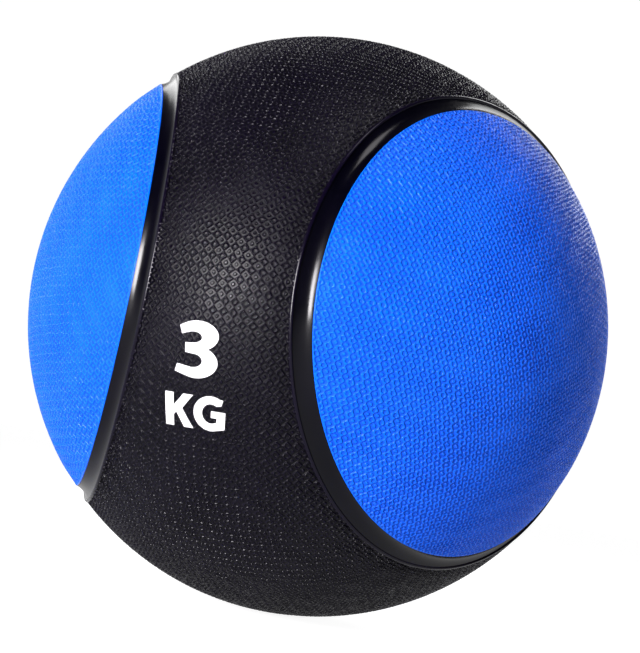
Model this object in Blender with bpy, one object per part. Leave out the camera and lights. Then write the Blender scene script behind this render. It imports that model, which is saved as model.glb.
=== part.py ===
"""A rubber medicine ball: textured cover, three inlaid discs, weighted core, bladder and valve.

Metres, +Z up. The ball stands on a small flat at its south pole, and the world origin is the
centre of that flat. The disc axes lie in the ball's equator, 120 degrees apart round +Z.
"""

from math import asin, cos, degrees, hypot, pi, radians, sin, sqrt, tan

import bmesh
import bpy
from mathutils import Quaternion, Vector

MM = 0.001

# Driving sizes, in metres
BALL_RADIUS = 0.115
COVER_THICKNESS = 0.0035
CORE_THICKNESS = 0.0102
WINDING_THICKNESS = 0.0008
BLADDER_THICKNESS = 0.0016
GAP = 0.0003

# Discs and the channels round them, as angles at the ball's centre
DISC_EDGE = radians(44.0)
CHANNEL_EDGE = radians(47.15)
EDGE_GAP = GAP / BALL_RADIUS
DISC_EDGE_ROUND = 0.0006
DISC_SHOULDER_SHARE = 0.3
CHANNEL_DEPTH = 0.0011
CHANNEL_RIM_DROP = 0.0003
DISC_AZIMUTHS = {"right": radians(-30.0), "left": radians(210.0), "back": radians(90.0)}

# Facets: how finely the round faces are divided
SEGMENTS = 40
COVER_RINGS = 24
DISC_RINGS = 6
CORE_RINGS = 14
CHANNEL_STEPS = 4
POLE_FLAT_ANGLE = radians(3.0)
SHARP_ANGLE = radians(35.0)
MERGE_DISTANCE = 1e-6

# Valve, measured along its own axis from the ball's centre
VALVE_AZIMUTH = radians(150.0)
VALVE_SEGMENTS = 24
NECK_RADIUS = 0.0052
NECK_TOP = 0.1141
NECK_CHAMFER = 0.0004
NECK_BORE = 0.0027
FLANGE_RADIUS = 0.0140
FLANGE_MIDDLE_RADIUS = 0.0095
FLANGE_INNER_FACE = 0.0945
FLANGE_CHAMFER = 0.0010
FLANGE_CLEARANCE = 0.0008
COUNTERBORE_RADIUS = 0.0039
COUNTERBORE_DEPTH = 0.0016
INSERT_BOTTOM = 0.0960
INSERT_TIP_CHAMFER = 0.0008
INSERT_HEAD_CHAMFER = 0.0002
INSERT_SINK = 0.0001
NEEDLE_RADIUS = 0.0007
NEEDLE_DEPTH = 0.0102
NEEDLE_POINT = 0.0006

# Weight marking: longitude from the band's middle, latitude, and lean of each line
MARK_FILM = 0.0003
DIGIT_PLACE = (radians(-2.1), radians(-13.6), radians(3.5))
UNIT_PLACE = (radians(-1.6), radians(-23.8), 0.0)
ARC_STEPS = 12

# Boolean cutters reach past the cover on both sides
CUTTER_INNER = 0.058
CUTTER_OUTER = 0.135

# Linear colours
BLACK_RUBBER = (0.014, 0.013, 0.015)
CHANNEL_BLACK = (0.010, 0.010, 0.011)
BLUE_RUBBER = (0.010, 0.110, 0.780)
PRINT_WHITE = (0.80, 0.80, 0.80)
CORE_GREY = (0.045, 0.043, 0.042)
NYLON_CREAM = (0.62, 0.55, 0.40)
BUTYL_BLACK = (0.020, 0.020, 0.022)
VALVE_BLACK = (0.018, 0.018, 0.018)

CENTRE_HEIGHT = BALL_RADIUS * cos(POLE_FLAT_ANGLE)
CORE_OUTER = BALL_RADIUS - COVER_THICKNESS - GAP
CORE_INNER = CORE_OUTER - CORE_THICKNESS
WINDING_OUTER = CORE_INNER - GAP
WINDING_INNER = WINDING_OUTER - WINDING_THICKNESS
BLADDER_OUTER = WINDING_INNER - GAP
BLADDER_INNER = BLADDER_OUTER - BLADDER_THICKNESS
VALVE_HOLE = NECK_RADIUS + GAP


def clear_scene():
    for old in list(bpy.data.objects):
        bpy.data.objects.remove(old, do_unlink=True)


def rubber(name, colour, roughness):
    """A plain Principled material."""
    material = bpy.data.materials.new(name)
    material.use_nodes = True
    shader = material.node_tree.nodes["Principled BSDF"]
    shader.inputs["Base Color"].default_value = (*colour, 1.0)
    shader.inputs["Roughness"].default_value = roughness
    shader.inputs["Metallic"].default_value = 0.0
    return material


def add_object(name, bm, material, parent, smooth=True):
    """Turns a bmesh into a linked object whose faces all point outwards."""
    bmesh.ops.recalc_face_normals(bm, faces=bm.faces)
    if bm.calc_volume(signed=True) < 0:
        bmesh.ops.reverse_faces(bm, faces=bm.faces)
    mesh = bpy.data.meshes.new(name)
    bm.to_mesh(mesh)
    bm.free()
    if smooth:
        mesh.shade_smooth()
        mesh.set_sharp_from_angle(angle=SHARP_ANGLE)
    if material:
        mesh.materials.append(material)
    piece = bpy.data.objects.new(name, mesh)
    bpy.context.scene.collection.objects.link(piece)
    piece.parent = parent
    return piece


def point_along(piece, azimuth, segments):
    """Turns local +Z to the level direction at this azimuth, with a facet's middle on the equator."""
    direction = Vector((cos(azimuth), sin(azimuth), 0.0))
    half_facet = Quaternion((0.0, 0.0, 1.0), pi / segments)
    piece.rotation_mode = "QUATERNION"
    piece.rotation_quaternion = direction.to_track_quat("Z", "Y") @ half_facet


def polar(radius, angle):
    """(distance from the axis, height along it) for a point seen at this angle from the axis."""
    return (radius * sin(angle), radius * cos(angle))


def arc(radius, start, end, steps):
    return [polar(radius, start + (end - start) * i / steps) for i in range(steps + 1)]


def spun(profile, segments):
    """Spins (distance, height) points round local Z. The profile closes on itself or on the axis."""
    bm = bmesh.new()
    verts = [bm.verts.new((distance, 0.0, height)) for distance, height in profile]
    on_axis = [distance < MERGE_DISTANCE for distance, height in profile]
    edges = []
    for i, vert in enumerate(verts):
        following = (i + 1) % len(verts)
        if not (on_axis[i] and on_axis[following]):
            edges.append(bm.edges.new((vert, verts[following])))
    bmesh.ops.spin(
        bm, geom=verts + edges, cent=(0, 0, 0), axis=(0, 0, 1), angle=2 * pi, steps=segments
    )
    bmesh.ops.remove_doubles(bm, verts=bm.verts, dist=MERGE_DISTANCE)
    return bm


def inner_radius(first_step, second_step):
    """Corner radius of an inner face whose flat facets all stay GAP clear of the core."""
    return (CORE_OUTER + GAP) / cos(hypot(first_step, second_step) / 2)


def cutter(name, bm, parent):
    tool = add_object(name, bm, None, parent, smooth=False)
    tool.hide_render = True
    tool.display_type = "WIRE"
    return tool


def subtract(piece, tool):
    boolean = piece.modifiers.new("cut_" + tool.name, "BOOLEAN")
    boolean.operation = "DIFFERENCE"
    boolean.solver = "EXACT"
    boolean.object = tool


def build_cover(material, centre):
    """The black cover: a ball with flat poles, hollowed, with three windows and a valve hole."""
    ring_step = (pi - 2 * POLE_FLAT_ANGLE) / COVER_RINGS
    hollow = inner_radius(ring_step, 2 * pi / SEGMENTS)
    outline = arc(BALL_RADIUS, POLE_FLAT_ANGLE, pi - POLE_FLAT_ANGLE, COVER_RINGS)
    top = (0.0, outline[0][1])
    bottom = (0.0, outline[-1][1])
    cover = add_object("cover", spun([top, *outline, bottom], SEGMENTS), material, centre)
    slope = tan(CHANNEL_EDGE)
    window = [
        (0.0, CUTTER_INNER),
        (CUTTER_INNER * slope, CUTTER_INNER),
        (CUTTER_OUTER * slope, CUTTER_OUTER),
        (0.0, CUTTER_OUTER),
    ]
    for side, azimuth in DISC_AZIMUTHS.items():
        tool = cutter("cut_window_" + side, spun(window, SEGMENTS), centre)
        point_along(tool, azimuth, SEGMENTS)
        subtract(cover, tool)
    hole = [
        (0.0, CUTTER_INNER),
        (VALVE_HOLE, CUTTER_INNER),
        (VALVE_HOLE, CUTTER_OUTER),
        (0.0, CUTTER_OUTER),
    ]
    tool = cutter("cut_valve_hole", spun(hole, VALVE_SEGMENTS), centre)
    point_along(tool, VALVE_AZIMUTH, VALVE_SEGMENTS)
    subtract(cover, tool)
    inside = arc(hollow, POLE_FLAT_ANGLE, pi - POLE_FLAT_ANGLE, COVER_RINGS)
    inside_profile = [(0.0, hollow), *inside, (0.0, -hollow)]
    subtract(cover, cutter("cut_hollow", spun(inside_profile, SEGMENTS), centre))


def disc_profile():
    """Half section of a disc: crowned face, rounded edge, wall towards the ball's centre."""
    inner = inner_radius(DISC_EDGE / DISC_RINGS, 2 * pi / SEGMENTS * sin(DISC_EDGE))
    bevel = DISC_EDGE_ROUND / BALL_RADIUS
    face = arc(BALL_RADIUS, 0.0, DISC_EDGE - bevel, DISC_RINGS)
    shoulder_drop = DISC_EDGE_ROUND * DISC_SHOULDER_SHARE
    shoulder = polar(BALL_RADIUS - shoulder_drop, DISC_EDGE - bevel * DISC_SHOULDER_SHARE)
    wall_top = polar(BALL_RADIUS - DISC_EDGE_ROUND, DISC_EDGE)
    back = arc(inner, DISC_EDGE, 0.0, DISC_RINGS)
    return [*face, shoulder, wall_top, *back]


def channel_profile():
    """Section of a channel strip, with a hollow face."""
    start = DISC_EDGE + EDGE_GAP
    end = CHANNEL_EDGE - EDGE_GAP
    inner = inner_radius(end - start, 2 * pi / SEGMENTS * sin(end))
    rim = BALL_RADIUS - CHANNEL_RIM_DROP
    dip = CHANNEL_DEPTH - CHANNEL_RIM_DROP
    face = []
    for i in range(CHANNEL_STEPS + 1):
        share = i / CHANNEL_STEPS
        face.append(polar(rim - dip * sin(pi * share), start + (end - start) * share))
    return [*face, polar(inner, end), polar(inner, start)]


def build_discs(blue, black, centre):
    for side, azimuth in DISC_AZIMUTHS.items():
        disc = add_object("disc_" + side, spun(disc_profile(), SEGMENTS), blue, centre)
        point_along(disc, azimuth, SEGMENTS)
        channel = add_object("channel_" + side, spun(channel_profile(), SEGMENTS), black, centre)
        point_along(channel, azimuth, SEGMENTS)


def at_hole(radius):
    """Where a sphere of this radius meets the valve hole."""
    return (VALVE_HOLE, sqrt(radius**2 - VALVE_HOLE**2))


def shell_with_hole(outer, inner):
    """Half section of a spherical layer with the valve hole at its top and no other opening."""
    step = pi / CORE_RINGS
    return [
        at_hole(outer),
        *arc(outer, step, pi, CORE_RINGS - 1),
        *arc(inner, pi, step, CORE_RINGS - 1),
        at_hole(inner),
    ]


def half_shell(outer, inner, start, end, steps):
    return [*arc(outer, start, end, steps), *arc(inner, end, start, steps)]


def build_inside(materials, centre):
    """The layers under the cover. All are spun about the valve axis with the same facets."""
    seam = GAP / 2 / CORE_INNER
    step = pi / CORE_RINGS
    half_steps = CORE_RINGS // 2
    valve_half = [
        at_hole(CORE_OUTER),
        *arc(CORE_OUTER, step, pi / 2 - seam, half_steps - 1),
        *arc(CORE_INNER, pi / 2 - seam, step, half_steps - 1),
        at_hole(CORE_INNER),
    ]
    far_half = half_shell(CORE_OUTER, CORE_INNER, pi / 2 + seam, pi, half_steps)
    layers = {
        "core_valve_half": (valve_half, materials["core"]),
        "core_far_half": (far_half, materials["core"]),
        "winding": (shell_with_hole(WINDING_OUTER, WINDING_INNER), materials["nylon"]),
        "bladder": (shell_with_hole(BLADDER_OUTER, BLADDER_INNER), materials["butyl"]),
    }
    for name, (profile, material) in layers.items():
        piece = add_object(name, spun(profile, VALVE_SEGMENTS), material, centre)
        point_along(piece, VALVE_AZIMUTH, VALVE_SEGMENTS)


def build_valve(material, centre):
    """The flanged neck that passes out through every layer, and the insert inside it."""
    seat = BLADDER_INNER - FLANGE_CLEARANCE
    flange_radii = (FLANGE_RADIUS, FLANGE_MIDDLE_RADIUS, NECK_RADIUS)
    flange_top = [(r, sqrt(seat**2 - r**2)) for r in flange_radii]
    counterbore_floor = NECK_TOP - COUNTERBORE_DEPTH
    housing = [
        (NECK_BORE, FLANGE_INNER_FACE),
        (FLANGE_RADIUS - FLANGE_CHAMFER, FLANGE_INNER_FACE),
        (FLANGE_RADIUS, FLANGE_INNER_FACE + FLANGE_CHAMFER),
        *flange_top,
        (NECK_RADIUS, NECK_TOP - NECK_CHAMFER),
        (NECK_RADIUS - NECK_CHAMFER, NECK_TOP),
        (COUNTERBORE_RADIUS, NECK_TOP),
        (COUNTERBORE_RADIUS, counterbore_floor),
        (NECK_BORE, counterbore_floor),
    ]
    neck = add_object("valve_housing", spun(housing, VALVE_SEGMENTS), material, centre)
    point_along(neck, VALVE_AZIMUTH, VALVE_SEGMENTS)
    stem = NECK_BORE - GAP
    head = COUNTERBORE_RADIUS - GAP
    head_top = NECK_TOP - INSERT_SINK
    insert = [
        (0.0, INSERT_BOTTOM),
        (stem - INSERT_TIP_CHAMFER, INSERT_BOTTOM),
        (stem, INSERT_BOTTOM + INSERT_TIP_CHAMFER),
        (stem, counterbore_floor + GAP),
        (head, counterbore_floor + GAP),
        (head, head_top - INSERT_HEAD_CHAMFER),
        (head - INSERT_HEAD_CHAMFER, head_top),
        (NEEDLE_RADIUS, head_top),
        (NEEDLE_RADIUS, head_top - NEEDLE_DEPTH),
        (0.0, head_top - NEEDLE_DEPTH - NEEDLE_POINT),
    ]
    plug = add_object("valve_core", spun(insert, VALVE_SEGMENTS), material, centre)
    point_along(plug, VALVE_AZIMUTH, VALVE_SEGMENTS)


def ellipse(middle, radii, start, end):
    """Points along an ellipse from one angle to the other, in degrees. All in millimetres."""
    points = []
    for i in range(ARC_STEPS + 1):
        angle = radians(start + (end - start) * i / ARC_STEPS)
        points.append((middle[0] + radii[0] * cos(angle), middle[1] + radii[1] * sin(angle)))
    return points


def digit_three():
    """Two round bowls that cross at a notch on the right and share a bar on the left."""
    upper, upper_radii = (0.2, 4.4), (7.45, 4.9)
    lower, lower_radii = (0.2, -4.15), (7.45, 5.15)
    notch = degrees(asin((upper[1] - lower[1]) / (upper_radii[1] + lower_radii[1])))
    return [
        (-5.9, 7.6),
        *ellipse(upper, upper_radii, 115, -notch),
        *ellipse(lower, lower_radii, notch, -115)[1:],
        (-7.6, -7.3),
        (-6.7, -4.8),
        *ellipse((-1.2, -3.6), (3.4, 2.2), -110, 90),
        (-3.8, -1.0),
        (-3.8, 2.1),
        *ellipse((-1.2, 3.95), (3.2, 1.8), -90, 100),
        (-5.1, 4.9),
    ]


def letter_k():
    """A stem with an arm and a leg."""
    return [
        (-10.9, 5.5),
        (-7.85, 5.5),
        (-7.85, 1.2),
        (-4.35, 5.5),
        (-0.9, 5.5),
        (-4.75, 0.5),
        (-0.7, -5.8),
        (-4.1, -5.8),
        (-6.9, -0.9),
        (-7.85, -2.0),
        (-7.85, -5.8),
        (-10.9, -5.8),
    ]


def letter_g():
    """An open ring whose mouth ends in a bar and an upright."""
    return [
        (9.4, 5.2),
        *ellipse((5.4, 0.1), (6.0, 5.9), 62, 290),
        (10.4, -4.7),
        (10.4, 1.1),
        (5.5, 1.1),
        (5.5, -1.2),
        (7.5, -1.2),
        (7.5, -2.7),
        *ellipse((5.5, 0.1), (3.1, 3.3), 300, 55),
        (8.9, 3.2),
    ]


def on_ball(east, north, height, place):
    """A point of a flat drawing, laid on the front of the ball at a longitude and latitude."""
    longitude, latitude, lean = place
    turned_east = east * cos(lean) - north * sin(lean)
    turned_north = east * sin(lean) + north * cos(lean)
    lat = latitude + turned_north / BALL_RADIUS
    lon = longitude + turned_east / BALL_RADIUS / cos(latitude) - pi / 2
    return (BALL_RADIUS + height) * Vector((cos(lat) * cos(lon), cos(lat) * sin(lon), sin(lat)))


def build_character(name, outline, place, material, centre):
    """Fills an outline, gives it thickness and lays it on the ball."""
    bm = bmesh.new()
    face = bm.faces.new([bm.verts.new((x * MM, y * MM, GAP)) for x, y in outline])
    grown = bmesh.ops.extrude_face_region(bm, geom=[face])
    lifted = [item for item in grown["geom"] if isinstance(item, bmesh.types.BMVert)]
    bmesh.ops.translate(bm, verts=lifted, vec=(0, 0, MARK_FILM))
    bmesh.ops.triangulate(bm, faces=bm.faces)
    for vert in bm.verts:
        vert.co = on_ball(vert.co.x, vert.co.y, vert.co.z, place)
    return add_object(name, bm, material, centre)


def build_marking(material, centre):
    build_character("marking_3", digit_three(), DIGIT_PLACE, material, centre)
    build_character("marking_k", letter_k(), UNIT_PLACE, material, centre)
    build_character("marking_g", letter_g(), UNIT_PLACE, material, centre)


def main():
    clear_scene()
    centre = bpy.data.objects.new("ball_centre", None)
    bpy.context.scene.collection.objects.link(centre)
    centre.location = (0.0, 0.0, CENTRE_HEIGHT)
    black = rubber("black_rubber", BLACK_RUBBER, 0.5)
    blue = rubber("blue_rubber", BLUE_RUBBER, 0.45)
    channel = rubber("channel_rubber", CHANNEL_BLACK, 0.25)
    white = rubber("white_print", PRINT_WHITE, 0.5)
    valve = rubber("valve_rubber", VALVE_BLACK, 0.5)
    inside = {
        "core": rubber("core_rubber", CORE_GREY, 0.7),
        "nylon": rubber("nylon_winding", NYLON_CREAM, 0.8),
        "butyl": rubber("butyl_bladder", BUTYL_BLACK, 0.4),
    }
    build_cover(black, centre)
    build_discs(blue, channel, centre)
    build_marking(white, centre)
    build_inside(inside, centre)
    build_valve(valve, centre)


main()
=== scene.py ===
from math import acos, asin, atan, atan2, cos, degrees, pi, radians, sin, sqrt

import bmesh
import bpy
import numpy as np
from mathutils import Matrix, Vector


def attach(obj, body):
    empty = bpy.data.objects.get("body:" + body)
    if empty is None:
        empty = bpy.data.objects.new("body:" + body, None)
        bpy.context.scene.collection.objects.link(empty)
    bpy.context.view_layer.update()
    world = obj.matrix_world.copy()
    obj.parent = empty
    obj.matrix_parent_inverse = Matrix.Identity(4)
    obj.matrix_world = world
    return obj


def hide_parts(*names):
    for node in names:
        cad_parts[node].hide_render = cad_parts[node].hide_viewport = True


# The medicine ball's looks: three textured cover panels, three inlaid blue discs, the glossy
# channels round them, the printed weight and the valve. Metres, +Z up, in the frame of the model.

MM = 0.001

# Sizes of the ball, in metres and radians at its centre
BALL_RADIUS = 0.115
POLE_FLAT_ANGLE = radians(3.0)
CENTRE = np.array([0.0, 0.0, BALL_RADIUS * cos(POLE_FLAT_ANGLE)])
COVER_INNER = BALL_RADIUS - 3.4 * MM
WALL_MIDDLE = BALL_RADIUS - 1.9 * MM
DISC_EDGE = radians(44.0)
CHANNEL_EDGE = radians(47.15)
SLIT = 0.05 * MM / BALL_RADIUS
UP = np.array([0.0, 0.0, 1.0])
DISC_AZIMUTHS = {"right": radians(-30.0), "left": radians(210.0), "back": radians(90.0)}
PANEL_AZIMUTHS = {"front": radians(-90.0), "right": radians(30.0), "left": radians(150.0)}

# Pitch of the relief, which is a length, and mesh spacing, as angles at the ball's centre. A panel's
# last rows are at its end, short of the poles, and no row reaches further sideways than the widest.
RELIEF_PITCH = 3.5 * MM
COVER_STEP = RELIEF_PITCH / 8 / BALL_RADIUS
DISC_STEP = 0.45 * MM / BALL_RADIUS
INNER_STEP = 2.0 * MM / BALL_RADIUS
PANEL_END = radians(89.98)
PANEL_WIDEST = 0.7

# Moulded relief: four waves on a square lattice, as (across, along, share). Where their sum
# passes from low to high the surface steps up, and from high to flat it dips by a share of that
# step. Crisp is the step's share of the whole depth.
BLACK_RELIEF = {
    "waves": ((2, 1, 1.0), (1, 2, 1.0), (-1, 2, 1.0), (-2, 1, 1.0)),
    "low": -0.22,
    "high": 0.58,
    "flat": 0.95,
    "dip": 0.10,
    "crisp": 0.76,
    "depth": 0.66 * MM,
}
BLUE_RELIEF = {
    "waves": ((2, 1, 1.3), (1, 2, 0.9), (-1, 2, 0.9), (-2, 1, 0.9)),
    "low": -0.30,
    "high": 0.42,
    "flat": 0.80,
    "dip": 0.15,
    "crisp": 0.68,
    "depth": 0.60 * MM,
}
PANEL_BLEND = 4.0 * MM

# How the moulding varies, by waves over the directions from the ball's centre: the wander of the
# lattice, in pitches, and the depth. Beside the windows the cover's relief is deeper still.
WANDER = 0.05
WANDER_WAVES = ((71.0, -33.0, 48.0), (-28.0, 80.0, 39.0), (55.0, 41.0, -66.0))
DEPTH_MIDDLE = 0.86
DEPTH_SWING = 0.22
DEPTH_WAVES = ((23.0, 9.0, -14.0), (-11.0, 25.0, 17.0), (46.0, -39.0, 27.0), (-31.0, 52.0, -44.0))
BOLD_SHARE = 0.70
BOLD_WIDTH = 5.5 * MM

# Rim of each cover window. Points of a row stand at the columns' distances from the edge, and the
# even ones keep a margin from it. The relief grows from nothing to full beside the lip.
EDGE_ROUND = 0.30 * MM
LIP_HEIGHT = 0.18 * MM
LIP_AT = 0.55 * MM
LIP_WIDTH = 0.50 * MM
EDGE_COLUMNS = np.array([1.4, 1.1, 0.85, 0.65, 0.5, 0.36, 0.24, 0.14, 0.05, 0.0]) * MM
EDGE_MARGIN = 1.7 * MM
SEAM_MARGIN = 0.25 * MM
RELIEF_FROM = 0.9 * MM
RELIEF_FULL = 1.6 * MM

# Disc: rounded edge, sink towards it, relief that fades there, and mesh rings. Each ring of the face
# has more points than the one inside it, by the growth.
DISC_ROUND = 0.5 * MM
DISC_SINK = 0.35 * MM
SINK_FROM = radians(38.0)
DISC_RELIEF_FULL = 1.1 * MM
DISC_RELIEF_FROM = 0.2 * MM
RING_GROWTH = 6
RIM_STEPS = 6
BACK_STEP = radians(4.0)
BACK_SEGMENTS = 96

# Channel strips: how far the sides and the middle lie under the ball's surface, and mesh steps
CHANNEL_RIM_DROP = 0.6 * MM
CHANNEL_DEPTH = 1.35 * MM
CHANNEL_STEPS = 20
CHANNEL_SEGMENTS = 720

# Edges that turn more than this stay sharp
SHARP_ANGLE = radians(40.0)
VALVE_SHARP_ANGLE = radians(35.0)

# Valve: radii, the hole, the land and the bore are from its own axis, and faces, tops and bottoms
# are heights along it from the ball's centre. The flange's seat is part of a sphere of that radius
# round the centre. The funnel's points are (beyond the needle's radius, below the insert's top).
VALVE_AZIMUTH = radians(150.0)
VALVE_HOLE = 5.5 * MM
VALVE_LAND = 7.0 * MM
VALVE_LAND_FADE = 1.5 * MM
VALVE_SEGMENTS = 96
NECK_RADIUS = 5.2 * MM
NECK_TOP = 114.1 * MM
NECK_BORE = 2.7 * MM
NECK_ROUND = 0.5 * MM
NECK_ROUND_STEPS = 4
FLANGE_RADIUS = 14.0 * MM
FLANGE_MIDDLE_RADIUS = 9.5 * MM
FLANGE_INNER_FACE = 94.5 * MM
FLANGE_CHAMFER = 1.0 * MM
FLANGE_SEAT = 97.5 * MM
COUNTERBORE_RADIUS = 3.9 * MM
COUNTERBORE_DEPTH = 1.6 * MM
COUNTERBORE_CHAMFER = 0.2 * MM
INSERT_BOTTOM = 96.0 * MM
INSERT_GAP = 0.3 * MM
INSERT_TAPER = 0.8 * MM
INSERT_ROUND = 0.3 * MM
INSERT_SINK = 0.1 * MM
NEEDLE_RADIUS = 0.7 * MM
NEEDLE_DEPTH = 10.2 * MM
NEEDLE_POINT = 0.6 * MM
NEEDLE_FUNNEL = ((0.9 * MM, 0.15 * MM), (0.3 * MM, 0.35 * MM), (0.0, 0.6 * MM))

# Weight marking: its underside and top from the ball's surface, the size of its cells, and each
# line's longitude from the band's middle, latitude and lean
MARK_UNDER = -0.15 * MM
MARK_OVER = 0.10 * MM
MARK_CELL = 1.2 * MM
MARK_DIVISIONS = 5
DIGIT_PLACE = (radians(-2.1), radians(-13.6), radians(3.5))
UNIT_PLACE = (radians(-1.6), radians(-23.8), 0.0)
ARC_STEPS = 36

# Materials: where noise counts as low and high, how far it moves the roughness, and the relief
# depths that count as a pit, where the colour is painted darker as shade, and as a top
NOISE_LOW = 0.3
NOISE_HIGH = 0.7
WEAR_FROM = 0.35
BLOTCH_GLOSS = 0.05
GRAIN_GLOSS = 0.04
WEAR_SCALE = 45.0
WEAR_GLOSS = (-0.04, 0.06)
PIT_DEPTH = 0.75
TOP_DEPTH = 0.15

# Winding: lean of the thread, its waves in radians for each metre, its height and roughness
THREAD_LEAN = radians(35.0)
THREAD_WAVES = 1800.0
THREAD_HEIGHT = 0.15 * MM
THREAD_FUZZ = 900.0
THREAD_ROUGHNESS = (0.7, 0.9)

# Camera, aimed at the ball's middle. The shift moves the picture sideways.
CAMERA_AZIMUTH = radians(17.3)
CAMERA_ELEVATION = radians(-6.9)
CAMERA_ROLL = radians(10.27)
CAMERA_DISTANCE = 4.4 * BALL_RADIUS
CAMERA_LENS = 68.6
CAMERA_SHIFT = 0.003
CAMERA_NEAR = 0.01

# Softboxes: direction in the camera's axes (right, up, back), distance, width, height, watts, tint
WARM = (1.0, 0.97, 1.0)
WHITE = (1.0, 1.0, 1.0)
SOFTBOXES = {
    "key": ((-0.52, 0.27, 0.81), 1.2, 0.30, 0.42, 26.0, WARM),
    "overhead": ((0.25, 0.90, 0.30), 1.3, 0.40, 0.40, 3.0, WARM),
    "rim_right": ((0.60, 0.46, -0.65), 1.3, 0.80, 0.80, 9.0, WHITE),
    "rim_left": ((-0.37, 0.58, -0.72), 1.3, 0.45, 0.45, 1.7, WHITE),
}

# Studio: the world fades between two heights along an axis, from one brightness to another. The
# camera sees a white backdrop and a floor that is as bright.
FRONT_FADE = (-0.45, 0.15, 1.0, 0.10)
OVERHEAD_FADE = (0.20, 0.60, 1.0, 0.06)
BACKDROP_SEEN = 1.02
FLOOR_REACH = 30.0
FLOOR_DROP = 0.5 * MM
FLOOR_DARK = 0.34
FLOOR_LIGHT = 0.38
FLOOR_GLOW = 0.45
FLOOR_GLOW_SEEN = 0.92
FLOOR_SPECKLE = 3.0
FLOOR_ROUGHNESS = 0.9


# Directions


def level(azimuth):
    """Unit vector at an azimuth in the equator's plane."""
    return np.array([cos(azimuth), sin(azimuth), 0.0])


def smooth(share):
    """Eases from 0 to 1 while the share does."""
    share = np.clip(share, 0.0, 1.0)
    return share * share * (3.0 - 2.0 * share)


def unit(vectors):
    return vectors / np.linalg.norm(vectors, axis=-1, keepdims=True)


def panel_direction(across, along, azimuth):
    """Unit vectors for angles across a panel and along it, from its middle on the equator."""
    forward = np.cos(across)[:, None] * (
        np.cos(along)[:, None] * level(azimuth) + np.sin(along)[:, None] * UP
    )
    return forward + np.sin(across)[:, None] * level(azimuth + pi / 2)


def panel_angles(direction, azimuth):
    """Angles across a panel and along it, for unit vectors."""
    across = np.arcsin(np.clip(direction @ level(azimuth + pi / 2), -1.0, 1.0))
    along = np.arctan2(direction @ UP, direction @ level(azimuth))
    return across, along


# Relief


def relief_pits(x, y, relief):
    """How deep the relief is at a place in pitches, from 0 on its tops to 1 in its pits."""
    total = sum(share for _, _, share in relief["waves"])
    height = np.zeros_like(x)
    for across, along, share in relief["waves"]:
        height -= share / total * np.cos(2 * pi * (across * x + along * y))
    step = smooth((height - relief["low"]) / (relief["high"] - relief["low"]))
    dip = smooth((height - relief["high"]) / (relief["flat"] - relief["high"]))
    step -= relief["dip"] * dip
    crisp = relief["crisp"]
    return 1.0 - crisp * step - (1.0 - crisp) * (height + 1.0) / 2.0


def evenness(direction):
    """How deep the relief was moulded, as a share of its full depth."""
    return DEPTH_MIDDLE + DEPTH_SWING * np.sin(direction @ np.array(DEPTH_WAVES).T).mean(axis=1)


def in_pitches(across, along, direction):
    """Places on the relief's lattice, in pitches. The lattice wanders a little, as moulds do."""
    first, second, third = np.sin(direction @ np.array(WANDER_WAVES).T).T * WANDER
    scale = BALL_RADIUS / RELIEF_PITCH
    return across * scale + first + second, along * scale + second - third


def panel_weights(direction):
    """How much each panel's pattern counts at a place. Neighbours fade into each other."""
    weights = []
    for azimuth in PANEL_AZIMUTHS.values():
        beyond = [direction @ level(azimuth + turn) for turn in (5 * pi / 6, -5 * pi / 6)]
        inside = -np.arcsin(np.clip(np.maximum(*beyond), -1.0, 1.0)) * BALL_RADIUS
        weights.append(smooth((inside + PANEL_BLEND) / (2 * PANEL_BLEND)))
    weights = np.array(weights)
    return weights / weights.sum(axis=0)


def window_distance(direction):
    """Distance from the nearest window's edge, and the unit direction that leads away from it."""
    axes = np.array([level(azimuth) for azimuth in DISC_AZIMUTHS.values()])
    dots = direction @ axes.T
    nearest = dots.argmax(axis=1)
    distance = (np.arccos(np.clip(dots.max(axis=1), -1.0, 1.0)) - CHANNEL_EDGE) * BALL_RADIUS
    axis = axes[nearest]
    away = direction * dots.max(axis=1)[:, None] - axis
    return distance, unit(away)


def rim_height(distance):
    """The rounded edge of a window with the low lip beside it."""
    inside = np.clip(distance, 0.0, EDGE_ROUND)
    rounded = np.sqrt(EDGE_ROUND**2 - (EDGE_ROUND - inside) ** 2) - EDGE_ROUND
    return rounded + LIP_HEIGHT * np.exp(-(((distance - LIP_AT) / LIP_WIDTH) ** 2))


# Mesh building


def between_loops(first, first_keys, second, second_keys):
    """Triangles between two closed loops of points. Keys say how far round each point is."""
    first_count = len(first_keys)
    second_count = len(second_keys)
    first_middles = (first_keys + np.append(first_keys[1:], 1.0 + first_keys[0])) / 2
    second_middles = (second_keys + np.append(second_keys[1:], 1.0 + second_keys[0])) / 2
    on_second = np.searchsorted(second_middles, first_middles) % second_count
    on_first = np.searchsorted(first_middles, second_middles, side="right") % first_count
    i = np.arange(first_count)
    k = np.arange(second_count)
    along_first = np.stack([first + i, first + (i + 1) % first_count, second + on_second], axis=1)
    along_second = np.stack([second + (k + 1) % second_count, second + k, first + on_first], axis=1)
    return np.concatenate([along_first, along_second])


def join_loops(all_keys, ring=False):
    """Triangles over a stack of loops. A ring's last loop meets its first; other ends are capped
    with one more point each, which come after the loops' own points."""
    starts = np.concatenate([[0], np.cumsum([len(keys) for keys in all_keys])])
    parts = []
    for i in range(len(all_keys) - 1):
        parts.append(between_loops(starts[i], all_keys[i], starts[i + 1], all_keys[i + 1]))
    last = len(all_keys) - 1
    if ring:
        parts.append(between_loops(starts[last], all_keys[last], 0, all_keys[0]))
        return np.concatenate(parts)
    for start, count, cap, order in (
        (0, len(all_keys[0]), starts[-1], -1),
        (starts[last], len(all_keys[last]), starts[-1] + 1, 1),
    ):
        i = np.arange(count)
        fan = np.stack([start + i, start + (i + 1) % count, np.full(count, cap)], axis=1)
        parts.append(fan[:, ::order])
    return np.concatenate(parts)


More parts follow.
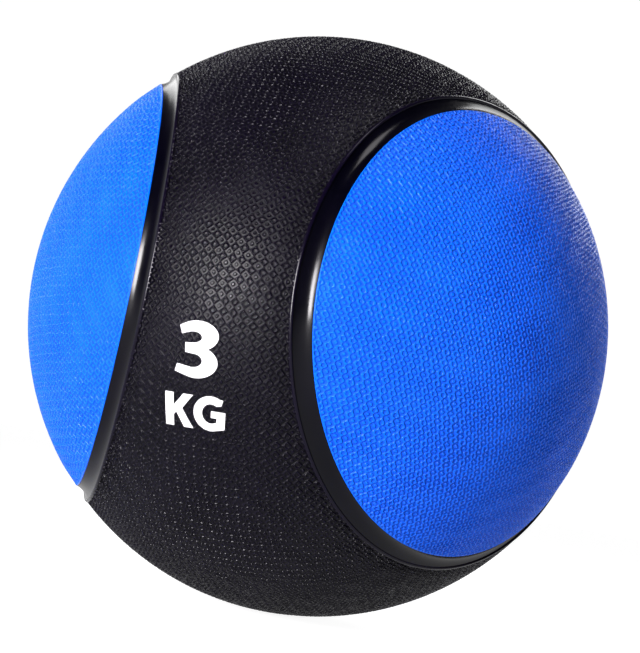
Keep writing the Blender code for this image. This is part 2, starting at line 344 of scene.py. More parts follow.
def add_piece(name, points, triangles, material, node, normals=None, fields=None):
    """Makes a closed mesh whose faces point outwards, ties it to the root body and hides the model's
    part of that node.
    """
    corners = points[triangles]
    volume = np.einsum("ij,ij->i", corners[:, 0], np.cross(corners[:, 1], corners[:, 2])).sum()
    if volume < 0:
        triangles = triangles[:, ::-1]
    mesh = bpy.data.meshes.new(name)
    mesh.vertices.add(len(points))
    mesh.vertices.foreach_set("co", np.ascontiguousarray(points, dtype=np.float32).ravel())
    mesh.loops.add(triangles.size)
    mesh.loops.foreach_set("vertex_index", np.ascontiguousarray(triangles, dtype=np.int32).ravel())
    mesh.polygons.add(len(triangles))
    mesh.polygons.foreach_set("loop_start", np.arange(0, triangles.size, 3, dtype=np.int32))
    mesh.update(calc_edges=True)
    mesh.shade_smooth()
    for field, values in (fields or {}).items():
        attribute = mesh.attributes.new(field, "FLOAT_VECTOR", "POINT")
        attribute.data.foreach_set("vector", np.ascontiguousarray(values, dtype=np.float32).ravel())
    if normals is not None:
        mesh.normals_split_custom_set_from_vertices(normals.tolist())
    return finish_piece(name, mesh, material, node)


def finish_piece(name, mesh, material, node):
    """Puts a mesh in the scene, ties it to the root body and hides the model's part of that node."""
    mesh.materials.append(material)
    piece = bpy.data.objects.new(name, mesh)
    bpy.context.scene.collection.objects.link(piece)
    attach(piece, "root")
    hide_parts(node)
    return piece


# Cover panels


def panel_half_width(along):
    """Half width of a panel: as far as the windows beside it, or the seams over them."""
    a = cos(along) / 2
    b = sqrt(3) / 2
    window = atan2(b, a) - acos(cos(CHANNEL_EDGE) / sqrt(a * a + b * b))
    seam = atan(sqrt(3) * cos(along))
    return min(window, seam), window < seam


def panel_row(along):
    """Outer points of one row, from left to right, as angles across the panel."""
    half, beside_window = panel_half_width(along)
    offsets = EDGE_COLUMNS if beside_window else np.zeros(1)
    margin = (EDGE_MARGIN if beside_window else SEAM_MARGIN) / BALL_RADIUS
    edge = half - offsets / BALL_RADIUS
    count = max(0, int((half - margin) / COVER_STEP))
    middle = np.arange(-count, count + 1) * COVER_STEP
    return np.concatenate([-edge[::-1], middle, edge]), half


def panel_layout():
    """Angles, layer (0 outer, 1 wall, 2 inner) and loop keys of every point of a panel. Keys run
    once round a row: over the outer skin, down the right wall, back inside, up the left wall."""
    rows = int(PANEL_END / COVER_STEP)
    alongs = [-PANEL_END, *(np.arange(-rows, rows + 1) * COVER_STEP), PANEL_END]
    across, along, layer, all_keys = [], [], [], []
    for angle in alongs:
        outer, half = panel_row(angle)
        inner_count = max(2, int(2 * half / INNER_STEP))
        inner = np.linspace(half, -half, inner_count)
        across.append(np.concatenate([outer, [half], inner, [-half]]))
        along.append(np.full(len(outer) + inner_count + 2, angle))
        layer.append(np.repeat([0, 1, 2, 1], [len(outer), 1, inner_count, 1]))
        scale = 4 * PANEL_WIDEST
        keys = [0.25 + outer / scale, [0.5], 0.75 - inner / scale, [0.99]]
        all_keys.append(np.concatenate(keys))
    ends = [np.array([0.0]), np.array([0.0])]
    across = np.concatenate(across + ends)
    along = np.concatenate([*along, [-PANEL_END], [PANEL_END]])
    layer = np.concatenate([*layer, [1], [1]])
    return across, along, layer, all_keys


def punch(points, triangles, axis, radius):
    """Cuts a round hole along an axis through both skins of a shell and walls it."""
    height = (points - CENTRE) @ axis
    offset = (points - CENTRE) - height[:, None] * axis
    distance = np.linalg.norm(offset, axis=1)
    near = (distance < radius) & (height > 0)
    removed = near[triangles].any(axis=1)
    kept = triangles[~removed]
    gone = triangles[removed]
    gone_edges = np.concatenate([gone[:, [0, 1]], gone[:, [1, 2]], gone[:, [2, 0]]])
    known = {(a, b) for a, b in gone_edges.tolist()}
    boundary = {a: b for a, b in known if (b, a) not in known}
    loops = []
    while boundary:
        start, following = next(iter(boundary.items()))
        loop = [start]
        while following != start:
            loop.append(following)
            following = boundary.pop(following)
        boundary.pop(start)
        loops.append(np.array(loop))
    side = np.cross(axis, UP)
    keyed = []
    for loop in loops:
        points[loop] -= offset[loop] * (1.0 - radius / distance[loop])[:, None]
        turn = np.arctan2(offset[loop] @ side, offset[loop] @ UP) / (2 * pi) % 1.0
        order = np.argsort(turn)
        keyed.append((height[loop].mean(), loop[order], turn[order]))
    keyed.sort(key=lambda entry: entry[0])
    (_, inner, inner_keys), (_, outer, outer_keys) = keyed
    wall = between_loops(0, outer_keys, len(outer), inner_keys)
    wall = np.concatenate([outer, inner])[wall]
    kept_edges = np.concatenate([kept[:, [0, 1]], kept[:, [1, 2]], kept[:, [2, 0]]])
    if (kept_edges == wall[0, :2]).all(axis=1).any():
        wall = wall[:, ::-1]
    return points, np.concatenate([kept, wall])


def panel_surface(direction, layer):
    """Points, custom normals and relief strength of a panel, for unit directions."""
    distance, away = window_distance(direction)
    valve_axis = level(VALVE_AZIMUTH)
    from_valve = np.linalg.norm(np.cross(direction, valve_axis), axis=1) * BALL_RADIUS
    from_valve = np.where(direction @ valve_axis > 0, from_valve, BALL_RADIUS)
    strength = smooth((distance - RELIEF_FROM) / (RELIEF_FULL - RELIEF_FROM))
    strength *= 1.0 + BOLD_SHARE * np.exp(-((distance / BOLD_WIDTH) ** 2))
    strength *= smooth((from_valve - VALVE_LAND) / VALVE_LAND_FADE) * evenness(direction)
    weights = panel_weights(direction)
    relief = np.zeros(len(direction))
    for weight, azimuth in zip(weights, PANEL_AZIMUTHS.values()):
        x, y = in_pitches(*panel_angles(direction, azimuth), direction)
        relief += weight * relief_pits(x, y, BLACK_RELIEF)
    radius = BALL_RADIUS + rim_height(distance)
    radius -= BLACK_RELIEF["depth"] * relief * strength
    radius = np.where(layer == 1, WALL_MIDDLE, radius)
    radius = np.where(layer == 2, COVER_INNER, radius)
    points = CENTRE + direction * radius[:, None]
    points[:, 2] = np.maximum(points[:, 2], 0.0)
    probe = 0.02 * MM
    rise = rim_height(distance + probe) - rim_height(np.maximum(distance - probe, 0.0))
    slope = rise / (2 * probe)
    normals = unit(direction - slope[:, None] * away)
    normals[layer > 0] = 0.0
    return points, normals, strength, weights


def build_panel(name, azimuth, layout, triangles, material):
    """A cover panel, with fields from which the material works out the relief again."""
    across, along, layer, _ = layout
    direction = panel_direction(across, along, azimuth)
    points, normals, strength, weights = panel_surface(direction, layer)
    order = list(PANEL_AZIMUTHS)
    own = order.index(name)
    azimuths = list(PANEL_AZIMUTHS.values())
    beside = np.where(across > 0, (own + 1) % 3, (own + 2) % 3)
    beside_across = np.zeros(len(across))
    beside_along = np.zeros(len(across))
    beside_weight = np.zeros(len(across))
    for other in ((own + 1) % 3, (own + 2) % 3):
        here = beside == other
        beside_across[here], beside_along[here] = panel_angles(direction[here], azimuths[other])
        beside_weight[here] = weights[other][here]
    outside = layer == 0
    own_place = in_pitches(across, along, direction)
    beside_place = in_pitches(beside_across, beside_along, direction)
    fields = {
        "relief": np.stack([*own_place, strength * weights[own] * outside], axis=1),
        "relief_beside": np.stack([*beside_place, strength * beside_weight * outside], axis=1),
    }
    if name == "left":
        points, triangles = punch(points, triangles, level(VALVE_AZIMUTH), VALVE_HOLE)
    return add_piece(
        "cover_" + name, points, triangles, material, "cover", normals, fields
    )


def build_cover(material):
    layout = panel_layout()
    triangles = join_loops(layout[3])
    for name, azimuth in PANEL_AZIMUTHS.items():
        build_panel(name, azimuth, layout, triangles, material)


# Discs and channels


def disc_frame(azimuth):
    """Axis, sideways and upward directions of a disc."""
    axis = level(azimuth)
    return axis, np.cross(UP, axis), UP


def disc_sink(angle):
    """How a disc's surface drops below the ball's towards its edge, as a change of radius."""
    return -DISC_SINK * smooth((angle - SINK_FROM) / (DISC_EDGE - SINK_FROM))


def build_disc(name, azimuth, material):
    """A disc as rings of (angle from its axis, drop below the ball, points, layer). The layer is 0
    on the face, 1 on the rounded rim, and 2 on the wall and back."""
    axis, sideways, upward = disc_frame(azimuth)
    bevel = DISC_ROUND / BALL_RADIUS
    face_rings = int((DISC_EDGE - bevel) / DISC_STEP)
    face_angles = np.arange(1, face_rings + 1) * (DISC_EDGE - bevel) / face_rings
    rim_turns = np.arange(1, RIM_STEPS + 1) * pi / 2 / RIM_STEPS
    rim_angles = DISC_EDGE - bevel * (1 - np.sin(rim_turns))
    rim_drops = DISC_ROUND * (1 - np.cos(rim_turns))
    rim_count = RING_GROWTH * face_rings
    rings = []
    for i, angle in enumerate(face_angles):
        rings.append((angle, 0.0, RING_GROWTH * (i + 1), 0))
    for angle, drop in zip(rim_angles, rim_drops):
        rings.append((angle, drop, rim_count, 1))
    rings.append((DISC_EDGE, BALL_RADIUS - WALL_MIDDLE, rim_count, 2))
    back_angles = np.arange(DISC_EDGE, BACK_STEP / 2, -BACK_STEP)
    for angle in back_angles:
        rings.append((angle, BALL_RADIUS - COVER_INNER, BACK_SEGMENTS, 2))
    keys = [np.arange(count) / count for _, _, count, _ in rings]
    angles = np.concatenate([np.full(count, angle) for angle, _, count, _ in rings] + [[0.0, 0.0]])
    drops = np.concatenate([np.full(count, drop) for _, drop, count, _ in rings])
    drops = np.concatenate([drops, [0.0, BALL_RADIUS - COVER_INNER]])
    layer = np.concatenate([np.full(count, kind) for _, _, count, kind in rings] + [[0, 2]])
    turns = np.concatenate([*keys, [0.0, 0.0]]) * 2 * pi
    around = np.cos(turns)[:, None] * sideways + np.sin(turns)[:, None] * upward
    direction = np.cos(angles)[:, None] * axis + np.sin(angles)[:, None] * around
    x, y = in_pitches(angles * np.cos(turns), angles * np.sin(turns), direction)
    from_edge = (DISC_EDGE - angles) * BALL_RADIUS
    strength = smooth((from_edge - DISC_RELIEF_FROM) / (DISC_RELIEF_FULL - DISC_RELIEF_FROM))
    strength *= evenness(direction) * (layer == 0)
    radius = BALL_RADIUS - drops + disc_sink(angles) * (layer < 2)
    radius -= BLUE_RELIEF["depth"] * relief_pits(x, y, BLUE_RELIEF) * strength
    points = CENTRE + direction * radius[:, None]
    probe = radians(0.05)
    slope = (disc_sink(angles + probe) - disc_sink(angles - probe)) / (2 * probe * BALL_RADIUS)
    outward = np.cos(angles)[:, None] * around - np.sin(angles)[:, None] * axis
    normals = unit(direction - slope[:, None] * outward)
    normals[layer > 0] = 0.0
    fields = {"relief": np.stack([x, y, strength], axis=1)}
    piece_name = "blue_" + name
    triangles = join_loops(keys)
    add_piece(piece_name, points, triangles, material, name, normals, fields)


def turned(profile, axis, segments, ring=False):
    """Turns (distance from the axis, height along it) points round an axis through the centre."""
    side = np.cross(UP, axis)
    turns = np.arange(segments) / segments * 2 * pi
    around = np.cos(turns)[:, None] * side + np.sin(turns)[:, None] * UP
    loops = [distance * around + height * axis for distance, height in profile]
    keys = [turns / (2 * pi)] * len(profile)
    points = np.concatenate(loops)
    if not ring:
        ends = np.array([profile[0][1] * axis, profile[-1][1] * axis])
        points = np.concatenate([points, ends])
    return CENTRE + points, join_loops(keys, ring)


def build_channel(name, azimuth, material):
    """A strip whose top is hollow across, and whose foot is on the cover's inner radius."""
    start = DISC_EDGE + SLIT
    end = CHANNEL_EDGE - SLIT
    rim = BALL_RADIUS - CHANNEL_RIM_DROP
    dip = CHANNEL_DEPTH - CHANNEL_RIM_DROP
    profile = []
    for i in range(CHANNEL_STEPS + 1):
        share = i / CHANNEL_STEPS
        angle = start + (end - start) * share
        radius = rim - dip * (1 - (2 * share - 1) ** 2)
        profile.append((radius * sin(angle), radius * cos(angle)))
    for angle in (end, start):
        profile.append((COVER_INNER * sin(angle), COVER_INNER * cos(angle)))
    points, triangles = turned(profile, level(azimuth), CHANNEL_SEGMENTS, ring=True)
    piece = add_piece("rubber_" + name, points, triangles, material, name)
    piece.data.set_sharp_from_angle(angle=SHARP_ANGLE)


# Valve


def build_valve(material):
    """The flanged neck, open along its axis, and the insert with its needle hole."""
    axis = level(VALVE_AZIMUTH)
    floor = NECK_TOP - COUNTERBORE_DEPTH
    seat_radii = (FLANGE_RADIUS, FLANGE_MIDDLE_RADIUS, NECK_RADIUS)
    seat = [(r, sqrt(FLANGE_SEAT**2 - r * r)) for r in seat_radii]
    rounding = []
    for i in range(NECK_ROUND_STEPS + 1):
        turn = i / NECK_ROUND_STEPS * pi / 2
        rounding.append(
            (NECK_RADIUS - NECK_ROUND * (1 - cos(turn)), NECK_TOP - NECK_ROUND * (1 - sin(turn)))
        )
    housing = [
        (NECK_BORE, FLANGE_INNER_FACE),
        (FLANGE_RADIUS - FLANGE_CHAMFER, FLANGE_INNER_FACE),
        (FLANGE_RADIUS, FLANGE_INNER_FACE + FLANGE_CHAMFER),
        *seat,
        *rounding,
        (COUNTERBORE_RADIUS + COUNTERBORE_CHAMFER, NECK_TOP),
        (COUNTERBORE_RADIUS, NECK_TOP - COUNTERBORE_CHAMFER),
        (COUNTERBORE_RADIUS, floor),
        (NECK_BORE, floor),
    ]
    points, triangles = turned(housing, axis, VALVE_SEGMENTS, ring=True)
    piece = add_piece("valve_neck", points, triangles, material, "valve_housing")
    piece.data.set_sharp_from_angle(angle=VALVE_SHARP_ANGLE)
    stem = NECK_BORE - INSERT_GAP
    head = COUNTERBORE_RADIUS - INSERT_GAP
    top = NECK_TOP - INSERT_SINK
    insert = [
        (stem - INSERT_TAPER, INSERT_BOTTOM),
        (stem, INSERT_BOTTOM + INSERT_TAPER),
        (stem, floor + INSERT_GAP),
        (head, floor + INSERT_GAP),
        (head, top - INSERT_ROUND),
        (head - INSERT_ROUND / 3, top - INSERT_ROUND / 3),
        (head - INSERT_ROUND, top),
        *[(NEEDLE_RADIUS + out, top - down) for out, down in NEEDLE_FUNNEL],
        (NEEDLE_RADIUS, top - NEEDLE_DEPTH),
        (NEEDLE_RADIUS / 4, top - NEEDLE_DEPTH - NEEDLE_POINT),
    ]
    points, triangles = turned(insert, axis, VALVE_SEGMENTS)
    piece = add_piece("valve_insert", points, triangles, material, "valve_core")
    piece.data.set_sharp_from_angle(angle=VALVE_SHARP_ANGLE)


# Weight marking


def ellipse(middle, radii, start, end):
    """Points along an ellipse from one angle to the other, in degrees. All in millimetres."""
    points = []
    for i in range(ARC_STEPS + 1):
        angle = radians(start + (end - start) * i / ARC_STEPS)
        points.append((middle[0] + radii[0] * cos(angle), middle[1] + radii[1] * sin(angle)))
    return points


def digit_three():
    """Two round bowls that cross at a notch on the right and share a bar on the left."""
    upper, upper_radii = (0.2, 4.4), (7.45, 4.9)
    lower, lower_radii = (0.2, -4.15), (7.45, 5.15)
    notch = degrees(asin((upper[1] - lower[1]) / (upper_radii[1] + lower_radii[1])))
    return [
        (-5.9, 7.6),
        *ellipse(upper, upper_radii, 115, -notch),
        *ellipse(lower, lower_radii, notch, -115)[1:],
        (-7.6, -7.3),
        (-6.7, -4.8),
        *ellipse((-1.2, -3.6), (3.4, 2.2), -110, 90),
        (-3.8, -1.0),
        (-3.8, 2.1),
        *ellipse((-1.2, 3.95), (3.2, 1.8), -90, 100),
        (-5.1, 4.9),
    ]


def letter_k():
    """A stem with an arm and a leg."""
    return [
        (-10.9, 5.5),
        (-7.85, 5.5),
        (-7.85, 1.2),
        (-4.35, 5.5),
        (-0.9, 5.5),
        (-4.75, 0.5),
        (-0.7, -5.8),
        (-4.1, -5.8),
        (-6.9, -0.9),
        (-7.85, -2.0),
        (-7.85, -5.8),
        (-10.9, -5.8),
    ]


def letter_g():
    """An open ring whose mouth ends in a bar and an upright."""
    return [
        (9.4, 5.2),
        *ellipse((5.4, 0.1), (6.0, 5.9), 62, 290),
        (10.4, -4.7),
        (10.4, 1.1),
        (5.5, 1.1),
        (5.5, -1.2),
        (7.5, -1.2),
        (7.5, -2.7),
        *ellipse((5.5, 0.1), (3.1, 3.3), 300, 55),
        (8.9, 3.2),
    ]


def on_ball(east, north, height, place):
    """A point of a flat drawing, laid on the front of the ball at a longitude and latitude."""
    longitude, latitude, lean = place
    turned_east = east * cos(lean) - north * sin(lean)
    turned_north = east * sin(lean) + north * cos(lean)
    lat = latitude + turned_north / BALL_RADIUS
    lon = longitude + turned_east / BALL_RADIUS / cos(latitude) - pi / 2
    direction = Vector((cos(lat) * cos(lon), cos(lat) * sin(lon), sin(lat)))
    return Vector(CENTRE) + (BALL_RADIUS + height) * direction


def build_character(name, outline, place, material):
    """Fills an outline, divides it finely, gives it thickness and lays it on the ball."""
    bm = bmesh.new()
    face = bm.faces.new([bm.verts.new((x * MM, y * MM, MARK_UNDER)) for x, y in outline])
    face.normal_update()
    bmesh.ops.triangulate(bm, faces=bm.faces)
    for _ in range(MARK_DIVISIONS):
        long_edges = [edge for edge in bm.edges if edge.calc_length() > MARK_CELL]
        if not long_edges:
            break
        bmesh.ops.subdivide_edges(bm, edges=long_edges, cuts=1)
        bmesh.ops.triangulate(bm, faces=bm.faces)
    grown = bmesh.ops.extrude_face_region(bm, geom=bm.faces[:])
    lifted = [item for item in grown["geom"] if isinstance(item, bmesh.types.BMVert)]
    bmesh.ops.translate(bm, verts=lifted, vec=(0, 0, MARK_OVER - MARK_UNDER))
    for vert in bm.verts:
        vert.co = on_ball(vert.co.x, vert.co.y, vert.co.z, place)
    bmesh.ops.recalc_face_normals(bm, faces=bm.faces)
    if bm.calc_volume(signed=True) < 0:
        bmesh.ops.reverse_faces(bm, faces=bm.faces)
    mesh = bpy.data.meshes.new(name)
    bm.to_mesh(mesh)
    bm.free()
    mesh.shade_smooth()
    mesh.set_sharp_from_angle(angle=SHARP_ANGLE)
    return finish_piece("white_" + name, mesh, material, name)


# Materials


class Shading:
    """A material's node tree with short ways to add nodes."""

    def __init__(self, name):
        self.material = bpy.data.materials.new(name)
        self.material.use_nodes = True
        self.tree = self.material.node_tree
        self.shader = self.tree.nodes["Principled BSDF"]

    def add(self, kind, inputs=(), **settings):
        node = self.tree.nodes.new(kind)
        for key, value in settings.items():
            setattr(node, key, value)
        for socket, value in dict(inputs).items():
            self.put(node.inputs[socket], value)
        return node

    def put(self, socket, value):
        if isinstance(value, bpy.types.NodeSocket):
            self.tree.links.new(value, socket)
        else:
            socket.default_value = value

    def math(self, operation, *values):
        return self.add("ShaderNodeMath", enumerate(values), operation=operation).outputs[0]

    def noise(self, scale, detail, roughness):
        inputs = {"Vector": self.place, "Scale": scale, "Detail": detail, "Roughness": roughness}
        return self.add("ShaderNodeTexNoise", inputs).outputs["Fac"]

    def grain(self, scale):
        return self.noise(scale, 3.0, 0.6)

    def blotch(self, scale):
        return self.noise(scale, 4.0, 0.6)

    @property
    def place(self):
        if not hasattr(self, "_place"):
            self._place = self.add("ShaderNodeTexCoord").outputs["Object"]
        return self._place

    def between(self, value, low, high, to_low, to_high, interpolation="LINEAR"):
        inputs = {
            "Value": value,
            "From Min": low,
            "From Max": high,
            "To Min": to_low,
            "To Max": to_high,
        }
        ramp = self.add("ShaderNodeMapRange", inputs, interpolation_type=interpolation)
        return ramp.outputs["Result"]

    def uneven(self, noise, to_low, to_high):
        """Spreads a noise, which keeps near its middle, over a range of values."""
        return self.between(noise, NOISE_LOW, NOISE_HIGH, to_low, to_high)

    def mix(self, share, first, second):
        node = self.add("ShaderNodeMix", data_type="RGBA")
        sockets = (node.inputs[0], node.inputs[6], node.inputs[7])
        for socket, value in zip(sockets, (share, first, second)):
            self.put(socket, value)
        return node.outputs[2]

    def bump(self, height, distance, normal=None):
        inputs = {"Height": height, "Distance": distance, "Strength": 1.0}
        if normal is not None:
            inputs["Normal"] = normal
        return self.add("ShaderNodeBump", inputs).outputs["Normal"]

    def relief(self, field, relief):
        """How deep the moulded relief is, times its strength, from a piece's field."""
        attribute = self.add("ShaderNodeAttribute", attribute_name=field).outputs["Vector"]
        strength = self.add("ShaderNodeSeparateXYZ", {0: attribute}).outputs["Z"]
        total = sum(share for _, _, share in relief["waves"])
        height = None
        for across, along, share in relief["waves"]:
            wave = (2 * pi * across, 2 * pi * along, 0.0)
            phase = self.add(
                "ShaderNodeVectorMath", {0: attribute, 1: wave}, operation="DOT_PRODUCT"
            ).outputs["Value"]
            part = self.math("MULTIPLY", self.math("COSINE", phase), -share / total)
            height = part if height is None else self.math("ADD", height, part)
        crisp = relief["crisp"]
        step = self.between(height, relief["low"], relief["high"], crisp, 0.0, "SMOOTHSTEP")
        sunk = crisp * relief["dip"]
        dip = self.between(height, relief["high"], relief["flat"], 0.0, sunk, "SMOOTHSTEP")
        slope = self.between(height, -1.0, 1.0, 1.0 - crisp, 0.0)
        pits = self.math("ADD", self.math("ADD", step, dip), slope)
        return self.math("MULTIPLY", pits, strength)


def colour(r, g, b):
    """An opaque colour, in linear light."""
    return (r, g, b, 1.0)


def textured_rubber(name, relief, fields, look):
    """Moulded rubber: the relief, fine grain, dull pits painted darker as shade, rubbed tops painted
    lighter, partly as wear and partly as sheen, and handling marks.
    """
    shading = Shading(name)
    pits = None
    for field in fields:
        part = shading.relief(field, relief)
        pits = part if pits is None else shading.math("ADD", pits, part)
    grain = shading.grain(look["grain_scale"])
    blotch = shading.blotch(look["blotch_scale"])
    raised = shading.between(pits, PIT_DEPTH, TOP_DEPTH, 0.0, 1.0)
    # Painted shade and sheen: the base colour is darker in the pits, as shade, and lighter on the
    # tops, partly as wear and partly as painted sheen.
    tint = shading.mix(raised, look["pit_painted_shade"], look["top"])
    patchy = shading.uneven(blotch, 0.0, look["blotch_share"])
    tint = shading.mix(patchy, tint, look["smudge"])
    shading.put(shading.shader.inputs["Base Color"], tint)
    rough = shading.between(raised, 0.0, 1.0, look["pit_roughness"], look["top_roughness"])
    rough = shading.math("ADD", rough, shading.uneven(blotch, -BLOTCH_GLOSS, BLOTCH_GLOSS))
    rough = shading.math("ADD", rough, shading.uneven(grain, -GRAIN_GLOSS, GRAIN_GLOSS))
    shading.put(shading.shader.inputs["Roughness"], rough)
    shading.put(shading.shader.inputs["Specular IOR Level"], look["specular"])
    moulded = shading.bump(shading.math("MULTIPLY", pits, -relief["depth"]), 1.0)
    fine = shading.bump(grain, look["grain_height"], moulded)
    shading.put(shading.shader.inputs["Normal"], fine)
    return shading.material


def plain_rubber(name, base, worn, roughness, grain_scale, grain_height, specular=0.4):
    """Smooth rubber with faint grain, uneven gloss and a little wear."""
    shading = Shading(name)
    grain = shading.grain(grain_scale)
    blotch = shading.blotch(WEAR_SCALE)
    patchy = shading.between(blotch, WEAR_FROM, NOISE_HIGH, 0.0, 1.0)
    shading.put(shading.shader.inputs["Base Color"], shading.mix(patchy, base, worn))
    rough = shading.uneven(blotch, *[roughness + change for change in WEAR_GLOSS])
    shading.put(shading.shader.inputs["Roughness"], rough)
    shading.put(shading.shader.inputs["Normal"], shading.bump(grain, grain_height))
    shading.put(shading.shader.inputs["Specular IOR Level"], specular)
    return shading.material


def wound_nylon(name):
    """Thread wound round the bladder in crossing turns under a coat of cement."""
    shading = Shading(name)
    heights = []
    for turn in (THREAD_LEAN, -THREAD_LEAN):
        wave = (sin(turn) * THREAD_WAVES, 0.0, cos(turn) * THREAD_WAVES)
        phase = shading.add(
            "ShaderNodeVectorMath", {0: shading.place, 1: wave}, operation="DOT_PRODUCT"
        ).outputs["Value"]
        heights.append(shading.math("SINE", phase))
    thread = shading.math("MAXIMUM", *heights)
    fuzz = shading.grain(THREAD_FUZZ)
    # The thread's colour is darker where it dips, between the crossing turns.
    tint = shading.mix(
        shading.between(thread, -0.5, 1.0, 0.0, 1.0),
        colour(0.34, 0.28, 0.18),
        colour(0.64, 0.57, 0.42),
    )
    shading.put(shading.shader.inputs["Base Color"], tint)
    shading.put(shading.shader.inputs["Roughness"], shading.uneven(fuzz, *THREAD_ROUGHNESS))
    shading.put(shading.shader.inputs["Normal"], shading.bump(thread, THREAD_HEIGHT))
    return shading.material


def make_materials():
    # In each look the pit colour is painted darker, as shade in the hollows; the top colour is
    # lighter, partly wear and partly painted sheen.
    black = {
        "pit_painted_shade": colour(0.0003, 0.0001, 0.0014),
        "top": colour(0.0025, 0.0013, 0.0070),
        "smudge": colour(0.0038, 0.0024, 0.0090),
        "pit_roughness": 0.40,
        "top_roughness": 0.15,
        "specular": 0.19,
        "grain_scale": 1700.0,
        "grain_height": 0.022 * MM,
        "blotch_scale": 38.0,
        "blotch_share": 0.35,
    }
    blue = {
        "pit_painted_shade": colour(0.0004, 0.0650, 0.6700),
        "top": colour(0.0007, 0.1290, 0.9300),
        "smudge": colour(0.0020, 0.1370, 0.9100),
        "pit_roughness": 0.80,
        "top_roughness": 0.25,
        "specular": 0.22,
        "grain_scale": 2400.0,
        "grain_height": 0.008 * MM,
        "blotch_scale": 30.0,
        "blotch_share": 0.35,
    }
    return {
        "black": textured_rubber(
            "black_rubber_look", BLACK_RELIEF, ("relief", "relief_beside"), black
        ),
        "blue": textured_rubber("blue_rubber_look", BLUE_RELIEF, ("relief",), blue),
        "channel": plain_rubber(
            "channel_look",
            base=colour(0.0006, 0.0005, 0.0022),
            worn=colour(0.0014, 0.0011, 0.0038),
            roughness=0.18,
            grain_scale=900.0,
            grain_height=0.006 * MM,
            specular=0.21,
        ),
        "print": plain_rubber(
            "print_look",
            base=colour(0.82, 0.82, 0.83),
            worn=colour(0.74, 0.74, 0.76),
            roughness=0.45,
            grain_scale=1500.0,
            grain_height=0.02 * MM,
        ),
        "valve": plain_rubber(
            "valve_look",
            base=colour(0.014, 0.014, 0.015),
            worn=colour(0.022, 0.022, 0.023),
            roughness=0.48,
            grain_scale=1400.0,
            grain_height=0.012 * MM,
        ),
        "core": plain_rubber(
            "core_look",
            base=colour(0.040, 0.038, 0.037),
            worn=colour(0.065, 0.060, 0.056),
            roughness=0.72,
            grain_scale=420.0,
            grain_height=0.08 * MM,
        ),
        "nylon": wound_nylon("winding_look"),
        "butyl": plain_rubber(
            "bladder_look",
            base=colour(0.018, 0.018, 0.020),
            worn=colour(0.030, 0.030, 0.032),
            roughness=0.42,
            grain_scale=700.0,
            grain_height=0.02 * MM,
        ),
    }


# Scene


def camera_axes():
    """Right, up and backward directions of the camera."""
    azimuth, elevation, roll = CAMERA_AZIMUTH, CAMERA_ELEVATION, CAMERA_ROLL
    back = np.array(
        [sin(azimuth) * cos(elevation), -cos(azimuth) * cos(elevation), sin(elevation)]
    )
    side = np.array([cos(azimuth), sin(azimuth), 0.0])
    top = np.cross(back, side)
    return side * cos(roll) + top * sin(roll), top * cos(roll) - side * sin(roll), back


def facing(right, up, back, location):
    matrix = Matrix.Identity(4)
    for column, values in enumerate((right, up, back, location)):
        for row in range(3):
            matrix[row][column] = values[row]
    return matrix


def add_camera():
    right, up, back = camera_axes()
    data = bpy.data.cameras.new("camera")
    data.lens = CAMERA_LENS
    data.shift_x = CAMERA_SHIFT
    data.clip_start = CAMERA_NEAR
    camera = bpy.data.objects.new("camera", data)
    camera.matrix_world = facing(right, up, back, CENTRE + back * CAMERA_DISTANCE)
    bpy.context.scene.collection.objects.link(camera)
    bpy.context.scene.camera = camera


def add_softbox(name, toward, distance, width, height, power, tint):
    """A rectangular light that faces the ball from a direction given in the camera's axes."""
    right, up, back = camera_axes()
    direction = unit(np.array([right, up, back]).T @ np.array(toward))
    data = bpy.data.lights.new(name, "AREA")
    data.shape = "RECTANGLE"
    data.size = width
    data.size_y = height
    data.energy = power
    data.color = tint
    light = bpy.data.objects.new(name, data)
    sideways = unit(np.cross(UP, direction))
    upward = np.cross(direction, sideways)
    light.matrix_world = facing(sideways, upward, direction, CENTRE + direction * distance)
    bpy.context.scene.collection.objects.link(light)


def add_world():
    """A studio with a white backdrop, dim in front of the ball and overhead."""
    world = bpy.data.worlds.new("studio")
    world.use_nodes = True
    bpy.context.scene.world = world
    nodes = world.node_tree.nodes
    links = world.node_tree.links
    direction = nodes.new("ShaderNodeTexCoord").outputs["Generated"]

    def add(kind, inputs, **settings):
        node = nodes.new(kind)
        for key, value in settings.items():
            setattr(node, key, value)
        for socket, value in inputs.items():
            if isinstance(value, bpy.types.NodeSocket):
                links.new(value, node.inputs[socket])
            else:
                node.inputs[socket].default_value = value
        return node

    def faded(axis, low, high, to_low, to_high):
        towards = add("ShaderNodeVectorMath", {0: direction, 1: axis}, operation="DOT_PRODUCT")
        inputs = {"Value": towards.outputs["Value"], "From Min": low, "From Max": high}
        inputs.update({"To Min": to_low, "To Max": to_high})
        ramp = add("ShaderNodeMapRange", inputs, interpolation_type="SMOOTHSTEP")
        return ramp.outputs["Result"]

    front = (sin(CAMERA_AZIMUTH), -cos(CAMERA_AZIMUTH), 0.0)
    behind = faded(front, *FRONT_FADE)
    overhead = faded((0.0, 0.0, 1.0), *OVERHEAD_FADE)
    lighting = add("ShaderNodeMath", {0: behind, 1: overhead}, operation="MULTIPLY").outputs[0]
    seen = nodes.new("ShaderNodeLightPath").outputs["Is Camera Ray"]
    inputs = {"Factor": seen, 2: lighting, 3: BACKDROP_SEEN}
    strength = add("ShaderNodeMix", inputs, data_type="FLOAT").outputs[0]
    background = nodes["Background"]
    background.inputs["Color"].default_value = colour(1.0, 1.0, 1.0)
    links.new(strength, background.inputs["Strength"])


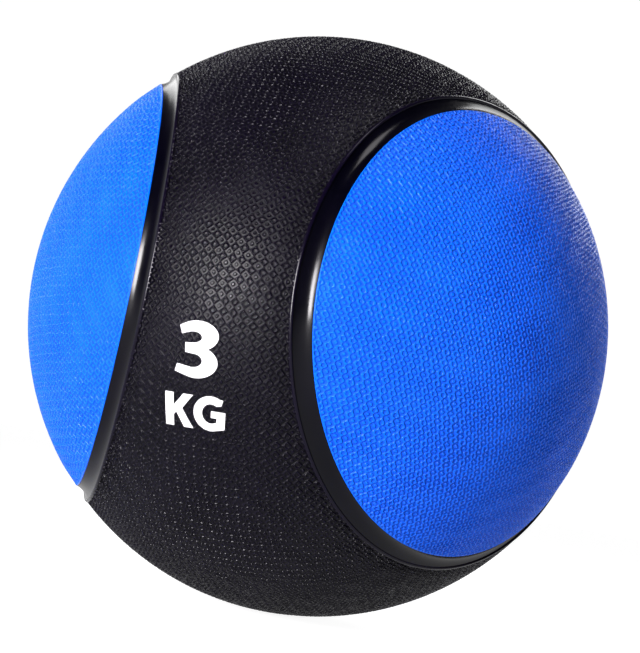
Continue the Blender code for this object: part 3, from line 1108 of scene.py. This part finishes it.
def add_floor():
    """A pale floor that glows, more so to the camera than on the ball."""
    shading = Shading("studio_floor")
    speckle = shading.noise(FLOOR_SPECKLE, 2.0, 0.5)
    dark = colour(FLOOR_DARK, FLOOR_DARK, FLOOR_DARK)
    light = colour(FLOOR_LIGHT, FLOOR_LIGHT, FLOOR_LIGHT)
    shading.put(shading.shader.inputs["Base Color"], shading.mix(speckle, dark, light))
    shading.put(shading.shader.inputs["Roughness"], FLOOR_ROUGHNESS)
    shading.put(shading.shader.inputs["Emission Color"], colour(1.0, 1.0, 1.0))
    seen = shading.add("ShaderNodeLightPath").outputs["Is Camera Ray"]
    glow = shading.between(seen, 0.0, 1.0, FLOOR_GLOW, FLOOR_GLOW_SEEN)
    shading.put(shading.shader.inputs["Emission Strength"], glow)
    signs = ((-1, -1), (1, -1), (1, 1), (-1, 1))
    corners = [(x * FLOOR_REACH, y * FLOOR_REACH, -FLOOR_DROP) for x, y in signs]
    mesh = bpy.data.meshes.new("floor")
    mesh.from_pydata(corners, [], [(0, 1, 2, 3)])
    mesh.materials.append(shading.material)
    floor = bpy.data.objects.new("floor", mesh)
    bpy.context.scene.collection.objects.link(floor)


def finish_inside(looks):
    """The parts under the cover keep their shapes and take finished materials."""
    kept = {
        "core_valve_half": "core",
        "core_far_half": "core",
        "winding": "nylon",
        "bladder": "butyl",
    }
    for node, look in kept.items():
        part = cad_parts[node]
        if not part.material_slots:
            part.data.materials.append(looks[look])
        for slot in part.material_slots:
            slot.material = looks[look]


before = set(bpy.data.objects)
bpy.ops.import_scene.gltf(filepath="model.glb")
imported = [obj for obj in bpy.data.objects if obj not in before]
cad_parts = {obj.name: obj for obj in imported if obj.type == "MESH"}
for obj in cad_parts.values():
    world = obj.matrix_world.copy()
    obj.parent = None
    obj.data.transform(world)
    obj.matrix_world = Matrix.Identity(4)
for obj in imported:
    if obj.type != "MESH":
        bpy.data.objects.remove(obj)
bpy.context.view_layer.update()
looks = make_materials()
build_cover(looks["black"])
for side, disc_azimuth in DISC_AZIMUTHS.items():
    build_disc("disc_" + side, disc_azimuth, looks["blue"])
    build_channel("channel_" + side, disc_azimuth, looks["channel"])
build_valve(looks["valve"])
build_character("marking_3", digit_three(), DIGIT_PLACE, looks["print"])
build_character("marking_k", letter_k(), UNIT_PLACE, looks["print"])
build_character("marking_g", letter_g(), UNIT_PLACE, looks["print"])
finish_inside(looks)
add_camera()
for softbox, settings in SOFTBOXES.items():
    add_softbox(softbox, *settings)
add_world()
add_floor()
bpy.context.scene.view_settings.view_transform = "Standard"
